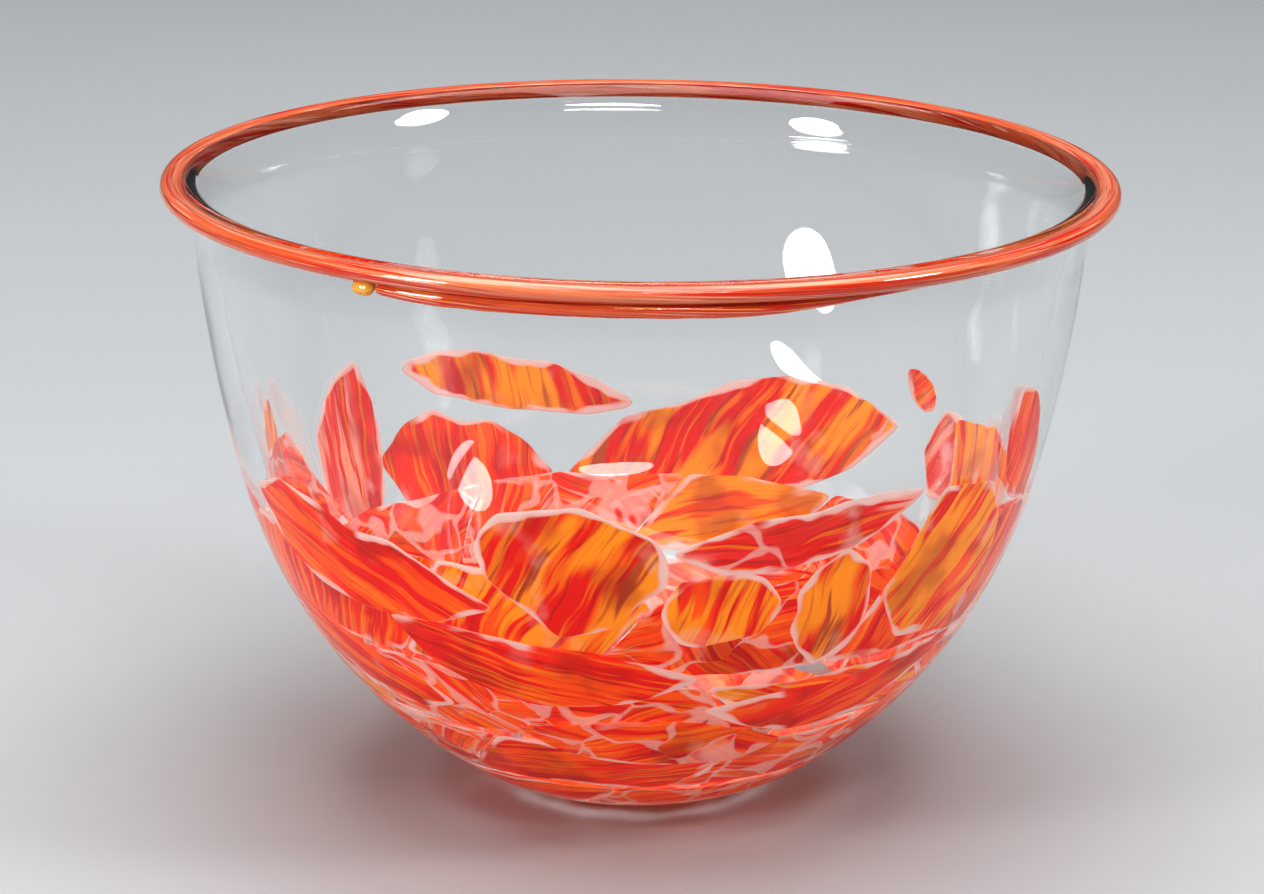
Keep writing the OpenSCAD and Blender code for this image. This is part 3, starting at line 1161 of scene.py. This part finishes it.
@dataclass(frozen=True)
class ShardFinish:
    """Colours and streaks of one palette of shard glass.

    Attributes:
        palette: The palette.
        slot: Name of a slot, handed on with its shards.
        ground: Colour under the streaks.
        second: Colour of the broad streaks.
        third: Colour of the narrow streaks.
        second_share: The higher, the more of the shard the broad streaks take.
        third_share: The same for the narrow streaks.
        streak_mm: Width of a streak.
        pale: Colour of the pale edge.
        edge_mm: Width of the pale edge.
        edge_share: The higher, the more of the outline is pale.
        milkiness: Strength of the milky clouds.
        patch_mm: Size of a patch of streaks; the default is far larger than a shard.
        patch_turn: How far patches turn from each other, in radians.
        relief: Strength of the streaks' relief.
        relief_depth: Depth of that relief.
        smoothest: Roughness between the streaks.
        roughest: Roughness on them.
        glow: Strength of its painted glow, light of its own colour sent out from the shard, which stands for
            light passing through it.
    """

    palette: Palette
    slot: str
    ground: Colour
    second: Colour
    third: Colour
    second_share: float
    third_share: float
    streak_mm: float
    pale: Colour = (0.80, 0.58, 0.54, 1)
    edge_mm: float = 0.95
    edge_share: float = 0.62
    milkiness: float = 0.25
    patch_mm: float = 400.0
    patch_turn: float = 0.0
    relief: float = 0.15
    relief_depth: float = 0.1 * MM
    smoothest: float = 0.45
    roughest: float = 0.6
    glow: float = 0.3

    def make(self, streaks: bpy.types.NodeTree, edge: bpy.types.NodeTree) -> bpy.types.Material:
        """The material: streaks under a pale edge, lit as glass that lies inside clear glass, with a painted
        glow that stands for light passing through it.

        Args:
            streaks: The group of drawn streaks.
            edge: The group of the pale edge.

        Returns:
            The material.
        """
        material, n = Nodes.of_material(f"shard_{self.palette.value}")
        grain = n.field("grain_mm", "Vector")
        streak_inputs = {
            "Grain": grain,
            "Streak Width": self.streak_mm,
            "Ground": self.ground,
            "Second": self.second,
            "Third": self.third,
            "Second Share": self.second_share,
            "Third Share": self.third_share,
            "Patch Size": self.patch_mm,
            "Patch Turn": self.patch_turn,
        }
        drawn = n.add("ShaderNodeGroup", streak_inputs, node_tree=streaks).outputs
        edge_inputs = {
            "Color": drawn["Color"],
            "Edge": n.field("edge_mm", "Fac"),
            "Border": drawn["Border"],
            "Grain": grain,
            "Pale": self.pale,
            "Width": self.edge_mm,
            "Share": self.edge_share,
            "Milkiness": self.milkiness,
        }
        colour = n.add("ShaderNodeGroup", edge_inputs, node_tree=edge).outputs["Color"]
        n.surface(
            {
                "Base Color": colour,
                "Roughness": n.between(drawn["Relief"], self.smoothest, self.roughest),
                "Normal": n.bump(drawn["Relief"], self.relief, self.relief_depth),
                "Specular IOR Level": 0.0,
                # painted glow: the shard's own colour sent out as light, standing for light that passes
                # through the glass
                "Emission Color": colour,
                "Emission Strength": self.glow,
            }
        )
        return material


RED = (0.74, 0.012, 0.004, 1)
FLAME_RED = (0.86, 0.034, 0.004, 1)
ORANGE = (0.93, 0.125, 0.005, 1)
AMBER = (0.94, 0.35, 0.015, 1)
BROWN = (0.50, 0.10, 0.02, 1)
ROSE_RED = (0.78, 0.04, 0.03, 1)
BLUSH_PINK = (0.84, 0.36, 0.29, 1)

SHARD_FINISHES: tuple[ShardFinish, ...] = (
    ShardFinish(
        Palette.FLAME, "orange_glass", FLAME_RED, RED, ORANGE,
        second_share=0.52, third_share=0.48, streak_mm=3.0, edge_share=0.57,
    ),
    ShardFinish(
        Palette.SCARLET, "red_glass", RED, FLAME_RED, ORANGE,
        second_share=0.5, third_share=0.44, streak_mm=3.0, edge_share=0.53, milkiness=0.15,
    ),
    ShardFinish(
        Palette.AMBER, "amber_glass", AMBER, RED, BROWN,
        second_share=0.51, third_share=0.38, streak_mm=3.6, edge_share=0.66,
    ),
    ShardFinish(
        Palette.ROSE, "pink_glass", ROSE_RED, BLUSH_PINK, RED,
        second_share=0.47, third_share=0.44, streak_mm=2.6, edge_share=0.66, milkiness=0.45,
    ),
    ShardFinish(
        Palette.TANGERINE, "amber_glass", ORANGE, RED, AMBER,
        second_share=0.52, third_share=0.52, streak_mm=3.0, edge_share=0.56,
    ),
    ShardFinish(
        Palette.BLUSH, "pink_glass", FLAME_RED, ORANGE, BLUSH_PINK,
        second_share=0.5, third_share=0.43, streak_mm=2.4, edge_mm=0.7,
        edge_share=0.47, milkiness=0.45, patch_mm=12.0, patch_turn=2.2,
    ),
    ShardFinish(
        Palette.EMBER, "red_glass", FLAME_RED, RED, ORANGE,
        second_share=0.52, third_share=0.5, streak_mm=2.4, edge_mm=0.7,
        edge_share=0.46, milkiness=0.3, patch_mm=13.0, patch_turn=1.8,
    ),
)


@dataclass(frozen=True)
class ClearFinish:
    """Clear fire-polished glass.

    Attributes:
        tint: Its colour where it isn't pure white.
        tint_scale: How fine the changes of tint are.
        ripple: Strength of the ripple.
        ripple_depth: Depth of the ripple.
    """

    tint: Colour = (0.985, 0.992, 0.990, 1)
    tint_scale: float = 12.0
    ripple: float = 0.12
    ripple_depth: float = 0.6 * MM

    def make(self, ripple: bpy.types.NodeTree) -> bpy.types.Material:
        """The material: plain transmission, with a faint ripple and a slightly uneven polish.

        Args:
            ripple: The group of the surface's unevenness.

        Returns:
            The material.
        """
        material, n = Nodes.of_material("clear_glass")
        place = n.add("ShaderNodeTexCoord").outputs["Object"]
        wave = n.add("ShaderNodeGroup", {"Vector": place, "Roughness": 0.0}, node_tree=ripple).outputs
        n.surface(
            {
                "Base Color": n.mix(n.noise(place, self.tint_scale, 1.0), self.tint, WHITE),
                "Roughness": wave["Roughness"],
                "Normal": n.bump(wave["Height"], self.ripple, self.ripple_depth),
                "IOR": GLASS_IOR,
                "Transmission Weight": 1.0,
            }
        )
        return material


@dataclass(frozen=True)
class CaneLines:
    """One layer of lines along a cane.

    Attributes:
        scale: How fine they are.
        detail: How much smaller noise is added.
        place: Their place in the noise, so that no two layers are alike.
        start: Noise level where they start to show.
        full: Noise level where they show fully.
        strength: How strongly they show there.
    """

    scale: float
    detail: float
    place: float
    start: float
    full: float
    strength: float = 1.0


BANDS = CaneLines(0.42, 2.0, 0.0, 0.42, 0.6)
HAIR_LINES = CaneLines(2.1, 2.0, 90.0, 0.56, 0.66, 0.6)
PALE_LINES = CaneLines(1.5, 2.0, 7.0, 0.6, 0.68, 0.7)


@dataclass(frozen=True)
class CaneFinish:
    """Cane drawn from many colours, which run along it as fine lines.

    Attributes:
        name: Name of the material.
        main: Colour under the lines.
        second: Colour of the broad bands.
        third: Colour of the fine lines.
        line: Colour of the hair lines.
        front: Colour that takes the main colour's place towards the front of the bowl.
        third_level: Noise level over which the fine lines show.
    """

    name: str
    main: Colour
    second: Colour
    third: Colour
    line: Colour
    front: Colour
    third_level: float = 0.58

    def make(self) -> bpy.types.Material:
        """The material: broad bands, then finer lines, over seamless four-number coordinates.

        Returns:
            The material.
        """
        front_from, front_full, front_strength = 0.55, 0.95, 0.8
        level_soft = 0.08
        relief, relief_depth = 0.25, 0.1 * MM
        smoothest, roughest = 0.03, 0.1
        fine_lines = CaneLines(0.95, 3.0, 40.0, self.third_level, self.third_level + level_soft)
        material, n = Nodes.of_material(self.name)
        xyz = n.field("streak_xyz", "Vector")
        w = n.field("streak_w", "Fac")

        def noise_of(lines: CaneLines) -> Socket:
            """Noise of one layer of lines."""
            return n.noise(xyz, lines.scale, lines.detail, n.math("ADD", w, lines.place))

        def shown(lines: CaneLines, noise: Socket) -> Socket:
            """Mask of where the lines show."""
            return n.math("MULTIPLY", n.ramp(noise, lines.start, lines.full), lines.strength)

        fine, hair = noise_of(fine_lines), noise_of(HAIR_LINES)
        front = n.ramp(n.field("facing_front", "Fac"), front_from, front_full)
        colour = n.mix(n.math("MULTIPLY", front, front_strength), self.main, self.front)
        colour = n.mix(shown(BANDS, noise_of(BANDS)), colour, self.second)
        colour = n.mix(shown(fine_lines, fine), colour, self.third)
        colour = n.mix(shown(HAIR_LINES, hair), colour, self.line)
        colour = n.mix(shown(PALE_LINES, noise_of(PALE_LINES)), colour, CANE_PALE)
        n.surface(
            {
                "Base Color": colour,
                "Roughness": n.between(hair, smoothest, roughest),
                "Normal": n.bump(fine, relief, relief_depth),
                "IOR": GLASS_IOR,
                "Coat Weight": 0.6,
                "Coat Roughness": 0.03,
            }
        )
        return material


CANE_FINISHES: tuple[CaneFinish, ...] = (
    CaneFinish(
        "coral_cane",
        main=(0.66, 0.13, 0.045, 1),
        second=(0.76, 0.24, 0.12, 1),
        third=(0.60, 0.025, 0.012, 1),
        line=(0.24, 0.04, 0.02, 1),
        front=(0.62, 0.03, 0.012, 1),
        third_level=0.54,
    ),
    CaneFinish(
        "tail_cane",
        main=(0.64, 0.03, 0.01, 1),
        second=(0.74, 0.14, 0.05, 1),
        third=(0.88, 0.46, 0.06, 1),
        line=(0.20, 0.02, 0.01, 1),
        front=(0.62, 0.02, 0.008, 1),
        third_level=0.53,
    ),
    CaneFinish(
        "yellow_cane",
        main=(0.88, 0.42, 0.03, 1),
        second=(0.88, 0.52, 0.08, 1),
        third=(0.85, 0.80, 0.74, 1),
        line=(0.6, 0.15, 0.02, 1),
        front=(0.88, 0.42, 0.03, 1),
    ),
)


# ---------------------------------------------------------------- the studio


class BoxShape(Enum):
    """The shapes that a soft light can have."""

    OVAL = "ELLIPSE"
    OBLONG = "RECTANGLE"


@dataclass(frozen=True)
class Softbox:
    """A flat soft light that faces the bowl.

    Attributes:
        turn: Degrees round the bowl from the front, to the right.
        elevation: Degrees above the middle of the bowl.
        distance: From the middle of the bowl.
        width: Its width.
        height: Its height.
        power: In watts.
        shape: Its shape.
    """

    turn: float
    elevation: float
    distance: float
    width: float
    height: float
    power: float
    shape: BoxShape = BoxShape.OVAL

    def make(self, name: str, target: np.ndarray) -> None:
        """Adds the light, turned to face the target.

        Args:
            name: Name of the light.
            target: The point that it faces.
        """
        a, e = math.radians(self.turn), math.radians(self.elevation)
        way = np.array([math.sin(a) * math.cos(e), -math.cos(a) * math.cos(e), math.sin(e)])
        lamp = bpy.data.lights.new(name, "AREA")
        lamp.shape, lamp.size, lamp.size_y = self.shape.value, self.width, self.height
        lamp.energy = self.power
        box = bpy.data.objects.new(name, lamp)
        bpy.context.collection.objects.link(box)
        box.location = target + self.distance * way
        box.rotation_mode = "QUATERNION"
        box.rotation_quaternion = Vector(way).to_track_quat("Z", "Y")


@dataclass(frozen=True)
class Studio:
    """Pale floor, soft lights and the camera.

    Attributes:
        softboxes: The lights: small oval ones for the highlights, and large oblong ones that fill
            from above.
        world: Colour of the light from all round.
        world_strength: Its strength.
        floor_dark: Darkest colour of the floor's mottling.
        floor_light: Lightest colour of it.
        floor_mottle: How fine the mottling is.
        floor_radii: Radii of the floor's rings.
        camera_distance: From the camera to the point that it is aimed near.
        camera_elevation: Degrees that it looks down.
        lens_mm: Length of its lens.
        sensor_mm: Width of its sensor.
        aim_height: Height that it is aimed at, as a share of the bowl's.
        aim_side: How far to the right it is aimed.
        roll: Degrees that it is rolled.
    """

    softboxes: tuple[Softbox, ...] = (
        # turn, elevation, distance, width, height, power
        Softbox(-53, 6.5, 1.1, 0.34, 0.085, 1.1),
        Softbox(-53, 12.4, 1.1, 0.36, 0.03, 0.4),
        Softbox(-53, 26, 1.1, 0.28, 0.30, 3.1),
        Softbox(70, 34, 1.1, 0.26, 0.24, 2.8),
        Softbox(9, 42, 1.2, 0.5, 0.07, 1.4),
        Softbox(-20, 76, 1.5, 1.7, 1.0, 15, BoxShape.OBLONG),
        Softbox(165, 70, 1.6, 1.6, 1.0, 13, BoxShape.OBLONG),
    )
    world: Colour = (0.62, 0.64, 0.66, 1)
    world_strength: float = 0.2
    floor_dark: Colour = (0.40, 0.41, 0.42, 1)
    floor_light: Colour = (0.44, 0.45, 0.46, 1)
    floor_mottle: float = 3.0
    floor_radii: tuple[float, ...] = (0.4, 1.0, 2.0, 4.0)
    camera_distance: float = 0.712
    camera_elevation: float = 16.4
    lens_mm: float = 115.6
    sensor_mm: float = 36
    aim_height: float = 0.547
    aim_side: float = -1.0 * MM
    roll: float = 0.6

    def build(self, low: np.ndarray, high: np.ndarray) -> None:
        """Sets up the floor, world, lights and camera round the box of the bowl.

        Args:
            low: Lowest corner of the bowl's box.
            high: Highest corner.
        """
        middle = (low + high) / 2
        self.floor(float(low[2]))
        world = bpy.data.worlds.new("studio")
        bpy.context.scene.world = world
        world.use_nodes = True
        backdrop = world.node_tree.nodes["Background"]
        backdrop.inputs["Color"].default_value = self.world
        backdrop.inputs["Strength"].default_value = self.world_strength
        for number, softbox in enumerate(self.softboxes):
            softbox.make(f"softbox_{number}", middle)
        self.camera(float(high[2] - low[2]))

    def floor(self, height: float) -> None:
        """A wide round floor, very slightly mottled.

        Args:
            height: Height of its top.
        """
        around, thickness = 96, 2 * MM
        turn = np.linspace(0, 2 * math.pi, around, endpoint=False)
        radius = np.array(self.floor_radii)[:, None]
        rings = np.stack([radius * np.sin(turn), -radius * np.cos(turn), 0 * radius * turn + height], axis=-1)
        skin = skin_pole_to_pole(rings, np.array([0, 0, height]), np.array([0, 0, height - thickness]))
        floor = skin.to_object("floor")
        material, n = Nodes.of_material("pale_floor")
        place = n.add("ShaderNodeTexCoord").outputs["Object"]
        colour = n.mix(n.noise(place, self.floor_mottle), self.floor_dark, self.floor_light)
        n.surface({"Base Color": colour, "Roughness": 0.55})
        floor.data.materials.append(material)
        floor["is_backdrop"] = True

    def camera(self, full_height: float) -> None:
        """Puts the camera in front of the lip and above it, looking down at the bowl.

        Args:
            full_height: Height of the bowl.
        """
        data = bpy.data.cameras.new("camera")
        data.lens, data.sensor_width = self.lens_mm, self.sensor_mm
        camera = bpy.data.objects.new("camera", data)
        bpy.context.collection.objects.link(camera)
        e = math.radians(self.camera_elevation)
        target = Vector((self.aim_side, 0, self.aim_height * full_height))
        back_off = self.camera_distance * math.cos(e)
        camera.location = (0, -back_off, target.z + self.camera_distance * math.sin(e))
        camera.rotation_mode = "QUATERNION"
        level = (target - camera.location).to_track_quat("-Z", "Y").to_matrix()
        rolled = level @ Matrix.Rotation(math.radians(self.roll), 3, "Z")
        camera.rotation_quaternion = rolled.to_quaternion()
        bpy.context.scene.camera = camera


# ---------------------------------------------------------------- the bowl


GATHERS = ("outer_gather", "middle_gather", "inner_gather")
# Depths of the middles of the upper and the lower layer of shards.
OVER_DEPTH = 1.55 * MM
UNDER_DEPTH = 2.25 * MM


@dataclass
class Bowl:
    """The whole bowl: the clear wall, the shards in it and the canes on its lip.

    Attributes:
        nodes: The CAD nodes by name.
        finishes: The shard materials, made by dress_up.
        seeds_apart: How far the seeds of two shard nodes lie apart, which leaves room for the
            solids in one node.
    """

    nodes: dict[str, bpy.types.Object]
    finishes: dict[Palette, bpy.types.Material] = field(default_factory=dict)
    seeds_apart: int = 10

    def dress_up(self) -> None:
        """Makes the shared groups and the shard materials."""
        streaks = drawn_streaks_group()
        edge = pale_edge_group()
        for finish in SHARD_FINISHES:
            self.finishes[finish.palette] = finish.make(streaks, edge)

    def finish_piece(
        self, skin: Skin, name: str, material: bpy.types.Material, slot: str, *stands_for: str
    ) -> None:
        """Turns a skin into a piece of the bowl and reports it.

        Args:
            skin: The skin.
            name: Name of the piece.
            material: Its material.
            slot: Not used.
            *stands_for: The CAD nodes that it replaces.
        """
        piece = skin.to_object(name)
        piece.data.materials.append(material)
        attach(piece, "root")
        if stands_for:
            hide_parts(*stands_for)
        LOG.info("%s: %d points", name, len(skin.points))

    def build_wall(self, shape: WallShape) -> None:
        """Builds the clear wall in place of the three gathers.

        Args:
            shape: Shape of the wall.
        """
        material = ClearFinish().make(surface_ripple_group())
        self.finish_piece(ClearWall(shape).build(), "clear_wall", material, "clear_glass", *GATHERS)

    def build_shards(self, shape: WallShape) -> None:
        """Builds every shard from the outline of its CAD node.

        Args:
            shape: Shape of the wall that they lie in.
        """
        slots = {finish.palette: finish.slot for finish in SHARD_FINISHES}
        for order, name in enumerate(sorted(filter(is_shard, self.nodes))):
            look = look_of(name)
            depth = OVER_DEPTH if name in NAMED_LOOKS else UNDER_DEPTH
            body = ShardBody(shape, depth, spread=look.spread)
            points, triangles = welded(self.nodes[name])
            for number, island in enumerate(islands(points, triangles)):
                seed = self.seeds_apart * order + number
                skin = body.build(points, island, look.grain, seed)
                label = f"{name}_glass" if number == 0 else f"{name}_glass_{number + 1}"
                stands_for = (name,) if number == 0 else ()
                self.finish_piece(skin, label, self.finishes[look.palette], slots[look.palette], *stands_for)

    def build_lip(self, ring: LipRing) -> None:
        """Builds the wrap, its tail and its yellow start.

        Args:
            ring: The ring of the wrap.
        """
        coral, red, yellow = (finish.make() for finish in CANE_FINISHES)
        wrap = LipWrap(ring)
        tail = LaidCane.measured(ring, welded(self.nodes["wrap_tail"])[0])
        bit_points = welded(self.nodes["wrap_start_bit"])[0]
        bit = LaidCane.measured(ring, bit_points, start_share=0.5, end_share=0.8, steps=40)
        self.finish_piece(wrap.build(), "lip_wrap_cane", coral, "coral_cane", "lip_wrap")
        self.finish_piece(tail.build(), "wrap_tail_cane", red, "coral_cane", "wrap_tail")
        self.finish_piece(bit.build(), "wrap_start_cane", yellow, "yellow_cane", "wrap_start_bit")


def main() -> None:
    """Builds the bowl and its studio."""
    logging.basicConfig(level=logging.INFO, format="%(message)s")
    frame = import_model()
    cad_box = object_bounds()
    view = bpy.context.scene.view_settings
    view.view_transform, view.look = "Standard", "High Contrast"
    low, high = (np.array(corner) for corner in cad_box)
    bowl = Bowl(frame["nodes"])
    bowl.dress_up()
    ring = LipRing.measured(welded(frame["nodes"]["lip_wrap"])[0])
    shape = WallShape()
    LOG.info("lip: ring %.4f, cane %.4f", ring.ring_r, ring.cane_r)
    bowl.build_wall(shape)
    bowl.build_shards(shape)
    bowl.build_lip(ring)
    Studio().build(low, high)
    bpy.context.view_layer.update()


if __name__ == "__main__":
    main()
